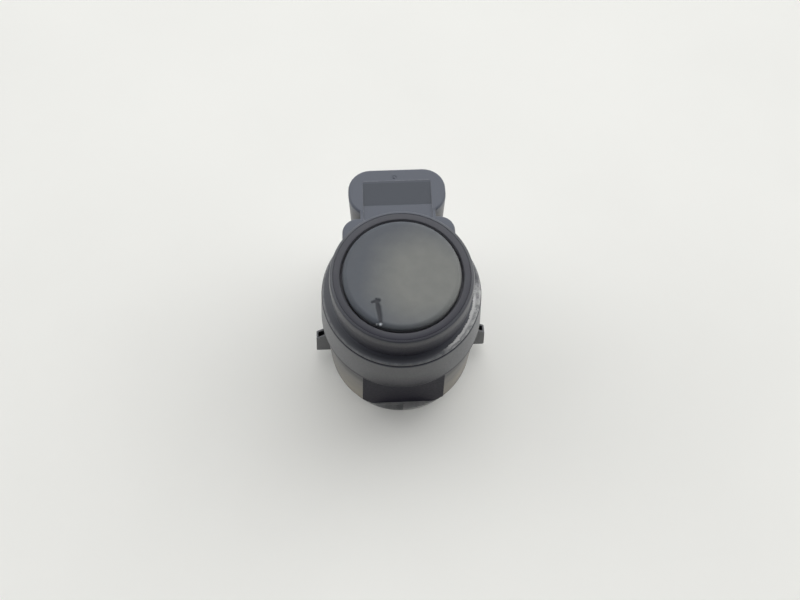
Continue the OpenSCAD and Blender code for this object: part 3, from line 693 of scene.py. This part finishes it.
def painted_aluminium(settings):
    """Deep-drawn aluminium, sprayed with satin paint: even grey with faint clouds, bare metal at a chip."""
    finish = settings.finish
    material, add, spot = new_material("satin_painted_aluminium")
    # Wiping has left the paint paler round a place beside the middle
    cloud = add("TexNoise", {"Vector": spot, "Scale": 1 / 4.5, "Detail": 5.0, "Roughness": 0.6}, out="Fac")
    pale_place = (3.2, -1, CUP_HIGH.z / MM)
    away = add("VectorMath", {0: spot, 1: pale_place}, out="Value", operation="DISTANCE")
    away = add("Math", {0: cloud, 1: 3.0, 2: away}, operation="MULTIPLY_ADD")
    film = inside(add, (away, 11, 5.5))
    wiped = add("TexNoise", {"Vector": spot, "Scale": 1 / 1.6, "Detail": 6.0}, out="Fac")
    shade = add("MapRange", {0: wiped, 1: 0.3, 2: 0.7, 3: 0.92, 4: 1.08})
    tone = layered(add, opaque(finish.paint), (film, finish.paint_warm))
    tone = add("VectorMath", {0: tone, 3: shade}, operation="SCALE")
    # Paler colour is painted on the cup's wall in the gap, lightening the gap's shade
    height, ring_z = add("SeparateXYZ", {0: spot}, out="Z"), RING_HIGH.z / MM
    dust = inside(add, (height, ring_z - 0.1, ring_z - 0.4))
    gouge, chip = (add("Attribute", out="Fac", attribute_name=name) for name in ("gouge", "chip"))
    tone = layered(add, tone, (dust, finish.gap_painted_light), (gouge, finish.paint_gouged),
                   (chip, finish.bare_metal))
    # Orange peel of sprayed paint, about 0.4 mm wide
    peel = add("TexNoise", {"Vector": spot, "Scale": 1 / 0.4, "Detail": 2.0}, out="Fac")
    rough = add("MapRange", {0: wiped, 1: 0.3, 2: 0.7, 3: 0.4, 4: 0.52})
    bump = add("Bump", {"Strength": 0.15, "Distance": 0.02 * MM, "Height": peel})
    close_material(add, colour=tone, roughness=rough, metallic=chip, normal=bump, ior=1.5)
    return material


def plain_finish(name, tint, second, feature, contrast, relief, **surface):
    """A finish of one material whose colour and relief vary with a noise, its sizes in millimetres."""
    material, add, spot = new_material(name)
    field = add("TexNoise", {"Vector": spot, "Scale": 1 / feature, "Detail": 5.0}, out="Fac")
    share = add("MapRange", {0: field, 1: 0.35, 2: 0.65, 3: 0, 4: contrast})
    tone = layered(add, opaque(tint), (share, second))
    bump = add("Bump", {"Strength": 0.3, "Distance": relief * MM, "Height": field})
    close_material(add, colour=tone, normal=bump, **surface)
    return material


def wound_copper(settings):
    """Enamelled copper wire, wound in turns of 0.2 mm: glossy orange-brown with a fine rib to each turn."""
    material, add, spot = new_material("enamelled_copper_wound")
    turns = add("TexWave", {"Vector": spot, "Scale": 1 / (0.2 * math.tau)}, out="Fac", bands_direction="Z")
    shade = add("MapRange", {0: turns, 3: 0.6, 4: 1.1})
    tone = add("VectorMath", {0: settings.finish.copper, 3: shade}, operation="SCALE")
    bump = add("Bump", {"Strength": 0.5, "Distance": 0.05 * MM, "Height": turns})
    close_material(add, colour=tone, roughness=0.3, metallic=0.8, normal=bump)
    return material


# Pieces


class SENSOR_OT_stage(bpy.types.Operator):
    """Set up the camera, the pale floor and the soft light"""

    bl_idname = "sensor.stage"
    bl_label = "Stage"

    image_width = 800
    sensor_mm = 36
    floor_side = 3.0
    lamp_place = Vector((0.03, 0.2, 0.4))
    front = Vector((0, -0.8, 0.6))
    front_from, front_to = -0.15, 0.55
    front_share = 0.02
    side_boost = 3.1
    side_lean = 0.5

    def execute(self, context):
        settings = context.scene.parking_sensor
        stage, scene = settings.stage, context.scene
        scene.view_settings.view_transform = "Standard"
        self.add_camera(scene, stage)
        self.add_floor(settings.finish)
        self.add_lamp(scene, stage)
        self.add_sky(scene, settings)
        return {"FINISHED"}

    def add_camera(self, scene, stage):
        camera = bpy.data.objects.new("camera", bpy.data.cameras.new("camera"))
        camera.data.sensor_fit = "HORIZONTAL"
        camera.data.sensor_width = self.sensor_mm
        camera.data.lens = stage.focal_px * self.sensor_mm / self.image_width
        camera.data.clip_start = 5 * MM
        around = Matrix.Rotation(stage.turn, 4, "Z")
        aim = around @ Matrix.Translation((stage.aim_side, 0, stage.aim_height))
        tilt = Matrix.Rotation(math.radians(90) - stage.elevation, 4, "X")
        back = Matrix.Translation((0, 0, stage.distance))
        camera.matrix_world = aim @ tilt @ back @ Matrix.Rotation(stage.roll, 4, "Z")
        scene.collection.objects.link(camera)
        scene.camera = camera

    def add_floor(self, finish):
        half = self.floor_side / 2
        floor = prism("floor", rectangle(-half, half, -half, half), -OVER, -SLIVER)
        # Coated board is an even white with faint, broad patches and no gloss, and it glows faintly, a
        # painted light that lifts the shadows
        floor.data.materials.append(plain_finish(
            "matt_white_board", finish.floor, finish.floor_worn, 40, 0.5, 0.02, roughness=0.9, specular=0.2,
            glow=0.15, glow_colour=opaque(finish.floor),
        ))

    def add_lamp(self, scene, stage):
        lamp = bpy.data.objects.new("overhead_lamp", bpy.data.lights.new("overhead_lamp", "AREA"))
        lamp.data.shape = "SQUARE"
        lamp.data.size = stage.lamp_size
        lamp.data.energy = stage.lamp_power
        lamp.location = self.lamp_place
        lamp.rotation_euler = self.lamp_place.to_track_quat("Z", "Y").to_euler()
        scene.collection.objects.link(lamp)

    def add_sky(self, scene, settings):
        scene.world = bpy.data.worlds.new("soft_sky")
        scene.world.use_nodes = True
        scene.world.node_tree.nodes.clear()
        add = functools.partial(node, scene.world)
        path = add("LightPath").node.outputs
        seen = path["Is Camera Ray"]
        for ray in ("Is Glossy Ray", "Is Transmission Ray"):
            seen = add("Math", {0: seen, 1: path[ray]}, operation="MAXIMUM")
        # Most of the light comes from behind and above, so the front is dimmer
        way = add("TexCoord", out="Generated")
        front = add("VectorMath", {0: way, 1: self.front}, out="Value", operation="DOT_PRODUCT")
        power, ramp = settings.stage.sky, {0: front, 1: self.front_from, 2: self.front_to}
        power = add("MapRange", {**ramp, 3: power, 4: power * self.front_share})
        # Windows on both sides add light from low down, a little more on the right
        side = add("SeparateXYZ", {0: way}, out="X")
        gain = add("Math", {0: side, 1: self.side_boost, 2: self.side_lean}, operation="MULTIPLY_ADD")
        side = add("Math", {0: side, 1: gain, 2: 1.0}, operation="MULTIPLY_ADD")
        power = add("Math", {0: power, 1: side}, operation="MULTIPLY")
        light = add("Background", {"Color": (1, 1, 1, 1), "Strength": power})
        finish = settings.finish
        tint = layered(add, opaque(finish.floor), (path["Is Glossy Ray"], finish.sky))
        shown = add("Background", {"Color": tint, "Strength": 1.0})
        add("OutputWorld", {"Surface": add("MixShader", {0: seen, 1: light, 2: shown})})


class SENSOR_OT_housing(bpy.types.Operator):
    """Mould the housing with its collar, neck, socket, lugs and flat"""

    bl_idname = "sensor.housing"
    bl_label = "Housing"

    post_turns = (20, 160, 215, 325)
    # Turn of each nick in degrees, and its share of the nicks' radius
    nicks = ((163, 1.0), (171.5, 0.7), (179, 0.6), (207, 0.55), (216, 0.8), (226, 0.5), (303, 0.7),
             (318, 0.9))
    nick_inset, nick_drop, nick_rise = 0.05 * MM, 0.02 * MM, 0.7
    gate_place = (-0.37 * MM, 19.6 * MM)
    gate_rise = 0.8
    gate_depth = 0.07 * MM
    nub_radii = (0.13 * MM, 0.2 * MM, 0.12 * MM)

    def execute(self, context):
        settings = context.scene.parking_sensor
        sizes, blocks = settings.turned, settings.blocks
        piece = self.turned_body(sizes)
        combine(piece, "UNION", *self.added_blocks(sizes, blocks))
        combine(piece, "DIFFERENCE", *self.bores(sizes, blocks), *self.cuts(sizes, blocks))
        combine(piece, "UNION", *self.inner_ribs(sizes, blocks))
        combine(piece, "DIFFERENCE", *self.marks(sizes, settings.wear))
        nub_place = (*self.gate_place, sizes.ledge_z - self.gate_depth)
        combine(piece, "UNION", pebble("gate_nub", nub_place, self.nub_radii))
        clean(piece)
        smooth(piece)
        place_piece(piece, glass_filled_nylon(settings), "moulded_housing", "housing")
        return {"FINISHED"}

    def turned_body(self, sizes):
        top = HOUSING_HIGH.z
        step_r = -HOUSING_LOW.y
        small, edge, step_edge = sizes.foot_edge_r, sizes.edge_r, sizes.step_edge_r
        step_edge_z = sizes.step_z + step_edge * math.sin(math.radians(60))
        rim_r = sizes.neck_r - sizes.shoulder_w
        groove, groove_z = sizes.groove_depth, sizes.ledge_z - edge - sizes.groove_h
        return turned("housing_moulding", [
            (0, 0),
            *arc((sizes.foot_r - small, small), small, -90, 0),
            (sizes.foot_r, sizes.foot_h),
            *arc((sizes.skirt_r - edge, sizes.skirt_z), edge, -40, 0),
            (sizes.body_r, sizes.step_z),
            *arc((step_r - step_edge, step_edge_z), step_edge, -60, 0),
            *arc((sizes.collar_r + groove - small, groove_z - small), small, 0, 70),
            (sizes.collar_r - groove, groove_z + sizes.groove_h / 2),
            *arc((sizes.collar_r - edge, sizes.ledge_z - edge), edge, 0, 90),
            *arc((sizes.neck_r + edge, sizes.ledge_z + edge), edge, 270, 180),
            *arc((rim_r, top - sizes.shoulder_h), sizes.shoulder_w, 0, 90, sizes.shoulder_h),
            (0, top),
        ])

    def added_blocks(self, sizes, blocks):
        small, edge, top = sizes.foot_edge_r, sizes.edge_r, sizes.ledge_z
        socket_back = blocks.socket_y + blocks.socket_l
        yield rounded_block(
            "rear_shoulder", blocks.ear_w, blocks.ear_y + BITE, blocks.ear_corner_r, 0, top,
            (blocks.ear_y - BITE) / 2, small, edge,
        )
        yield rounded_block(
            "socket_block", blocks.socket_w, blocks.socket_l, blocks.socket_corner_r, blocks.socket_z, top,
            blocks.socket_y + blocks.socket_l / 2, small, edge,
        )
        half = blocks.bridge_w / 2
        bridge = rectangle(-half, half, blocks.ear_y - BITE, blocks.socket_y + BITE)
        yield prism("bridge", bridge, blocks.socket_z + small, top - SLIVER)
        latch_h = HOUSING_HIGH.y - socket_back
        latch_z = blocks.socket_z + blocks.latch_z
        ramp = [
            (socket_back - blocks.socket_wall / 2, latch_z),
            (socket_back, latch_z),
            *arc((socket_back + latch_h - small, latch_z + blocks.latch_l), small, -22, 0),
            *arc((socket_back + latch_h - small, latch_z + blocks.latch_l + latch_h - small), small, 0, 90),
            (socket_back - blocks.socket_wall / 2, latch_z + blocks.latch_l + latch_h),
        ]
        yield prism("socket_latch", ramp, -blocks.latch_w / 2, blocks.latch_w / 2, ACROSS)
        for side in (-1, 1):
            outline = [(side * x, z) for x, z in self.lug_outline(sizes, blocks)]
            yield prism("side_lug", outline, -blocks.lug_t / 2, blocks.lug_t / 2, UPRIGHT)

    def lug_outline(self, sizes, blocks):
        root, reach, edge = sizes.body_r - blocks.wall / 2, HOUSING_HIGH.x, sizes.edge_r
        low = blocks.lug_z
        return [
            (root, low),
            *arc((reach - edge, low + edge), edge, -90, 0),
            (reach - blocks.lug_lean, low + blocks.lug_end_h),
            (sizes.body_r, low + blocks.lug_root_h),
            (root, low + blocks.lug_root_h),
        ]

    def bores(self, sizes, blocks):
        top = HOUSING_HIGH.z
        flange_seat_r = sizes.neck_r - sizes.shoulder_w - sizes.rim_w
        shelf_z = SUPPORT_LOW.z - sizes.shelf_t
        soft = sizes.rim_w / 6
        profile = [
            (0, shelf_z - SLIVER),
            (sizes.shelf_hole_r, shelf_z - SLIVER),
            (sizes.shelf_hole_r, SUPPORT_LOW.z),
            (sizes.bore_r, SUPPORT_LOW.z),
            (sizes.bore_r, top - sizes.flange_h),
            (flange_seat_r, top - sizes.flange_h),
            *arc((flange_seat_r + soft, top - soft), soft, 180, 90),
            (flange_seat_r + soft, top + OVER),
            (0, top + OVER),
        ]
        yield turned("transducer_bore", profile)
        yield prism("chamber", chamber_outline(sizes, blocks), -OVER, shelf_z)

    def cuts(self, sizes, blocks):
        middle = blocks.socket_y + blocks.socket_l / 2
        hollow = rounded_rectangle(
            blocks.socket_w - 2 * blocks.socket_wall, blocks.socket_l - 2 * blocks.socket_wall,
            blocks.socket_corner_r - blocks.socket_wall,
        )
        hollow = [(x, y + middle) for x, y in hollow]
        yield prism("socket_hollow", hollow, blocks.socket_z - OVER, blocks.ceiling_z)
        half, field_y, field_end = field_place(blocks)
        floor, top = sizes.ledge_z - blocks.field_depth, sizes.ledge_z + OVER
        ramp = [(field_y, floor), (field_end, sizes.ledge_z - SLIVER), (field_end, top), (field_y, top)]
        yield prism("sunk_field", ramp, -half, half, ACROSS)
        lowered = rectangle(-half, half, blocks.ear_y - sizes.edge_r, field_y + SLIVER)
        yield prism("lowered_bridge", lowered, sizes.ledge_z - blocks.bridge_sink, top)
        reach = -HOUSING_LOW.y + OVER
        flat = rectangle(-reach, reach, -reach, -blocks.flat_y)
        yield prism("front_flat", flat, sizes.foot_h, sizes.step_z)
        notch = rectangle(-blocks.notch_l, 0, -reach, -blocks.flat_y - blocks.notch_strip)
        yield prism("foot_notch", notch, blocks.notch_z, sizes.foot_h + SLIVER)
        inner = sizes.skirt_r + blocks.lug_wall / 2
        outer = HOUSING_HIGH.x - blocks.lug_lean - blocks.lug_end_wall
        side = blocks.lug_t / 2 - blocks.lug_wall
        floor = blocks.lug_z + blocks.lug_end_h - blocks.lug_pocket
        for hand in (-1, 1):
            pocket = rectangle(*sorted((hand * inner, hand * outer)), -side, side)
            yield prism("lug_pocket", pocket, floor, floor + blocks.lug_root_h)

    def inner_ribs(self, sizes, blocks):
        half, top = blocks.pad_w / 2, sizes.step_z + sizes.edge_r
        low = sizes.foot_h
        pad = [
            (blocks.pad_lean - half, top),
            (-half, low + blocks.pad_bevel_h),
            (blocks.pad_bevel_w - half, low),
            (half - blocks.pad_bevel_w, low),
            (half, low + blocks.pad_bevel_h),
            (half - blocks.pad_lean, top),
        ]
        yield prism("front_pad", pad, blocks.flat_y - blocks.wall / 2, blocks.flat_y, UPRIGHT)
        # The outer side of each key is one and a half contact pitches from the middle
        pitch = SIDE_CONTACT_LOW.x - CONTACT_LOW.x
        for side in (-1, 1):
            middle = side * (1.5 * pitch - blocks.key_w / 2)
            back = blocks.socket_y + blocks.socket_wall + blocks.key_h
            front = blocks.socket_y + blocks.socket_wall / 2
            key = rectangle(middle - blocks.key_w / 2, middle + blocks.key_w / 2, front, back)
            yield prism("socket_key", key, blocks.key_z, blocks.ceiling_z + SLIVER)
        reach = sizes.body_r - blocks.wall / 2 - blocks.post_r
        for turn in self.post_turns:
            centre = (reach * math.cos(math.radians(turn)), reach * math.sin(math.radians(turn)))
            post = arc(centre, blocks.post_r, 0, 360)[:-1]
            yield prism("board_post", post, BOARD_HIGH.z, SUPPORT_LOW.z - sizes.shelf_t + SLIVER)

    def marks(self, sizes, wear):
        for turn, scale in self.nicks:
            turn, radius = math.radians(turn), wear.nick_r * scale
            edge_r = sizes.collar_r - self.nick_inset
            place = (edge_r * math.cos(turn), edge_r * math.sin(turn), sizes.ledge_z - self.nick_drop)
            yield pebble("edge_nick", place, (radius, radius, radius * self.nick_rise))
        dish = (wear.gate_r, wear.gate_r * self.gate_rise, self.gate_depth)
        yield pebble("gate_mark", (*self.gate_place, sizes.ledge_z), dish)


def chamber_outline(sizes, blocks):
    """Outline of the rear chamber, flat at the front and squared at the back."""
    radius = sizes.body_r - blocks.wall
    front, back = -blocks.flat_y + blocks.wall, blocks.ear_y - blocks.wall
    half = blocks.ear_w / 2 - blocks.wall
    first = math.degrees(math.asin(front / radius))
    last = math.degrees(math.acos(half / radius))
    right = arc((0, 0), radius, first, last, steps=CHAMBER_STEPS) + [(half, back)]
    return right + [(-x, y) for x, y in reversed(right)]


class SENSOR_OT_soft_ring(bpy.types.Operator):
    """Mould the soft ring that holds the sensing cup in the neck"""

    bl_idname = "sensor.soft_ring"
    bl_label = "Soft ring"

    def execute(self, context):
        settings = context.scene.parking_sensor
        sizes, turned_sizes = settings.transducer, settings.turned
        top, low = RING_HIGH.z, RING_LOW.z
        cup_r = CUP_HIGH.x
        sleeve_r = turned_sizes.bore_r - sizes.slip_fit
        flange_r = RING_HIGH.x + sizes.slip_fit / 2
        gap_r = cup_r + sizes.gap_w
        fit_r = cup_r + sizes.slip_fit
        soft = sizes.gap_w / 2
        piece = turned("soft_ring", [
            (turned_sizes.shelf_hole_r, low),
            (sleeve_r, low),
            (sleeve_r, top - turned_sizes.flange_h),
            (flange_r, top - turned_sizes.flange_h),
            *arc((gap_r + soft, top - sizes.bead_h), flange_r - gap_r - soft, 0, 90, sizes.bead_h)[:-1],
            *arc((gap_r + soft, top - soft), soft, 90, 180),
            (gap_r, top - sizes.gap_depth),
            (fit_r, top - sizes.gap_depth),
            (fit_r, CUP_LOW.z),
            (turned_sizes.shelf_hole_r, CUP_LOW.z),
        ], closed=True)
        smooth(piece)
        place_piece(piece, silicone_rubber(settings), "soft_ring", "decoupling_ring")
        return {"FINISHED"}


class SENSOR_OT_sensing_disc(bpy.types.Operator):
    """Draw the aluminium cup whose painted face is the sensing disc"""

    bl_idname = "sensor.sensing_disc"
    bl_label = "Sensing disc"

    # Each stroke of the gouge runs from one place to another, with its share of the gouge's width at both
    strokes = (
        ((-4.4, -4.4), (-3.45, -4.15), 0.5, 0.75),
        ((-3.8, -3.95), (-3.56, -5.15), 0.5, 1.0),
        ((-3.56, -5.15), (-3.38, -6.4), 1.0, 0.85),
        ((-3.38, -6.4), (-3.3, -7.4), 0.85, 0.7),
    )
    chips = (((-3.34, -7.66), 1.0), ((-3.88, -7.6), 0.55))
    # In shares of the gouge's width: how far off its burr lies and how wide that is, then how steep the
    # gouge's walls and the edges of its dark floor are
    burr_away, burr_w = 1.3, 0.6
    wall_slope, stain_slope = 1.6, 2.2

    def execute(self, context):
        settings = context.scene.parking_sensor
        sizes = settings.transducer
        radius, top, low = CUP_HIGH.x, CUP_HIGH.z, CUP_LOW.z
        inner_r, edge = radius - sizes.cup_wall, sizes.face_edge_r
        rings = round((radius - edge) / sizes.face_ring)
        face = [((radius - edge) * (rings - i) / rings, top) for i in range(1, rings + 1)]
        piece = turned("sensing_disc", [
            (inner_r, low),
            (radius, low),
            *arc((radius - edge, top - edge), edge, 0, 90),
            *face,
            (0, top - sizes.face_t),
            (inner_r, top - sizes.face_t),
        ], DISC_SIDES, closed=True)
        self.mark(piece, settings.wear, top - edge)
        smooth(piece)
        place_piece(piece, painted_aluminium(settings), "painted_disc", "membrane_cup")
        return {"FINISHED"}

    def mark(self, piece, wear, lowest):
        """Presses the gouge into the face, and notes where it and its bare chip are."""
        mesh = piece.data
        gouge = mesh.attributes.new("gouge", "FLOAT", "POINT").data
        chip = mesh.attributes.new("chip", "FLOAT", "POINT").data
        for vertex in mesh.vertices:
            if vertex.co.z < lowest:
                continue
            spot = vertex.co.xy
            away, share = self.distance_to_gouge(spot)
            width = wear.gouge_w * share
            hollow = max(0.0, 1 - away / width)
            burr = max(0.0, 1 - abs(away - self.burr_away * width) / (self.burr_w * width))
            depth = min(1.0, self.wall_slope * hollow) * wear.gouge_depth * share
            vertex.co.z += burr * wear.burr_h - depth
            gouge[vertex.index].value = min(1.0, self.stain_slope * hollow)
            chip[vertex.index].value = max(
                max(0.0, min(1.0, 2 - 2 * (spot - Vector(place) * MM).length / (wear.chip_r * share)))
                for place, share in self.chips
            )

    def distance_to_gouge(self, spot):
        """Distance from a spot to the gouge's line, and how wide the gouge is there."""
        best = (1.0, 1.0)
        for start, end, share, next_share in self.strokes:
            start, end = Vector(start) * MM, Vector(end) * MM
            run = end - start
            along = max(0.0, min(1.0, (spot - start).dot(run) / run.length_squared))
            away = (spot - start - run * along).length
            width = share + (next_share - share) * along
            best = min(best, (away / width, width))
        return best[0] * best[1], best[1]


class SENSOR_OT_transducer_inside(bpy.types.Operator):
    """Finish the pieces behind the sensing face: ceramic, felt, backing ring and leads"""

    bl_idname = "sensor.transducer_inside"
    bl_label = "Inside of the transducer"

    def execute(self, context):
        paint_plainly(
            context.scene.parking_sensor.finish,
            # Silver is screen printed on the sintered disc, so it is pale and faintly mottled
            ("piezo_disc", "piezo_ceramic_silvered", "ceramic", "tin", 0.6, 0.8, 0.01, {"roughness": 0.35}),
            # Pressed wool fibres give a soft, pale and uneven face
            ("damping_felt", "wool_felt_pressed", "felt", "capacitor", 0.4, 0.25, 0.15,
             {"roughness": 0.95, "sheen": 0.4}),
            # Plain nylon from the tool is a dull, even dark grey
            ("support_ring transformer_base", "nylon_moulded", "rubber", "plastic", 0.5, 0.4, 0.02,
             {"roughness": 0.55, "ior": 1.5}),
            # Drawn wire under clear enamel shines along its length
            ("piezo_lead_hot piezo_lead_ground", "enamelled_copper_drawn", "copper", "road_dust",
             0.3, 0.2, 0.01, {"roughness": 0.28, "metallic": 0.8}),
        )
        return {"FINISHED"}


class SENSOR_OT_circuit(bpy.types.Operator):
    """Finish the circuit board and its components"""

    bl_idname = "sensor.circuit"
    bl_label = "Circuit board"

    def execute(self, context):
        settings = context.scene.parking_sensor
        paint_nodes(wound_copper(settings), "transformer_winding")
        paint_plainly(
            settings.finish,
            # Glass cloth under solder mask shows as a faint green weave
            ("circuit_board", "glass_epoxy_solder_masked", "board", "rubber", 0.6, 0.3, 0.01,
             {"roughness": 0.35, "coat": 0.3}),
            # Moulded packages are a matt black with a fine grain
            ("control_chip protection_diode", "epoxy_transfer_moulded", "chip", "rubber", 0.15, 0.5, 0.01,
             {"roughness": 0.6, "ior": 1.55}),
            # Sintered powder leaves a dull, gritty grey
            ("transformer_core", "ferrite_sintered", "ferrite", "chip", 0.25, 0.6, 0.03, {"roughness": 0.7}),
            # A drawn can is bright, with faint dull patches
            ("buffer_capacitor", "aluminium_drawn", "aluminium", "tin", 0.3, 0.4, 0.01,
             {"roughness": 0.32, "metallic": 1.0}),
            # Fired ceramic is a flat tan
            ("chip_capacitors", "ceramic_fired", "capacitor", "ceramic", 0.2, 0.3, 0.01, {"roughness": 0.5}),
            # Glaze over the resistors is black and glossy
            ("chip_resistors", "ceramic_glazed", "chip", "ferrite", 0.2, 0.4, 0.01,
             {"roughness": 0.25, "coat": 0.4}),
        )
        return {"FINISHED"}


class SENSOR_OT_contacts(bpy.types.Operator):
    """Finish the three tinned contacts"""

    bl_idname = "sensor.contacts"
    bl_label = "Contacts"

    def execute(self, context):
        paint_plainly(
            context.scene.parking_sensor.finish,
            # Electroplated tin is a soft silver with faint dull patches
            ("terminal_supply terminal_signal terminal_ground", "brass_tin_plated", "tin", "aluminium",
             0.4, 0.6, 0.01, {"roughness": 0.3, "metallic": 1.0}),
        )
        return {"FINISHED"}


class SENSOR_OT_potting(bpy.types.Operator):
    """Pour the resin that closes the back of the housing"""

    bl_idname = "sensor.potting"
    bl_label = "Casting resin"

    def execute(self, context):
        settings = context.scene.parking_sensor
        sizes = settings.transducer
        outline = chamber_outline(settings.turned, settings.blocks)
        rings = [[(x, y, POTTING_HIGH.z) for x, y in outline]]
        wide, high = sizes.meniscus_w, sizes.meniscus_h
        for inset, height in arc((wide, POTTING_LOW.z - high), wide, 180, 90, high):
            rings.append([(x, y, height) for x, y in drawn_in(outline, inset)])
        piece = loft("casting_resin", rings)
        smooth(piece)
        finish = settings.finish
        # Resin sets glossy with a film of dust and faint flow clouds
        resin = plain_finish("epoxy_cast", finish.resin, finish.plastic, 3, 0.12, 0.03,
                             roughness=0.3, ior=1.55)
        place_piece(piece, resin, "potting_resin", "potting")
        return {"FINISHED"}


OPERATORS = (
    SENSOR_OT_stage,
    SENSOR_OT_housing,
    SENSOR_OT_soft_ring,
    SENSOR_OT_sensing_disc,
    SENSOR_OT_transducer_inside,
    SENSOR_OT_circuit,
    SENSOR_OT_contacts,
    SENSOR_OT_potting,
)


class SENSOR_PT_panel(bpy.types.Panel):
    """Lists the pieces of the parking sensor"""

    bl_idname = "SENSOR_PT_panel"
    bl_label = "Parking Sensor"
    bl_space_type = "VIEW_3D"
    bl_region_type = "UI"
    bl_category = "Parking Sensor"

    def draw(self, context):
        settings = context.scene.parking_sensor
        for operator in OPERATORS:
            self.layout.operator(operator.bl_idname)
        for part in SensorSettings.__annotations__:
            group, box = getattr(settings, part), self.layout.box()
            for key in type(group).__annotations__:
                box.prop(group, key)


CLASSES = (
    SensorTurnedSizes, SensorBlockSizes, SensorTransducerSizes, SensorWear, SensorFinish, SensorStage,
    SensorSettings, *OPERATORS, SENSOR_PT_panel,
)


def register():
    for kind in CLASSES:
        bpy.utils.register_class(kind)
    bpy.types.Scene.parking_sensor = bpy.props.PointerProperty(type=SensorSettings)


def unregister():
    del bpy.types.Scene.parking_sensor
    for kind in reversed(CLASSES):
        bpy.utils.unregister_class(kind)


def main():
    register()
    bpy.ops.sensor.stage()
    bpy.ops.sensor.housing()
    bpy.ops.sensor.soft_ring()
    bpy.ops.sensor.sensing_disc()
    bpy.ops.sensor.transducer_inside()
    bpy.ops.sensor.circuit()
    bpy.ops.sensor.contacts()
    bpy.ops.sensor.potting()


if __name__ == "__main__":
    main()
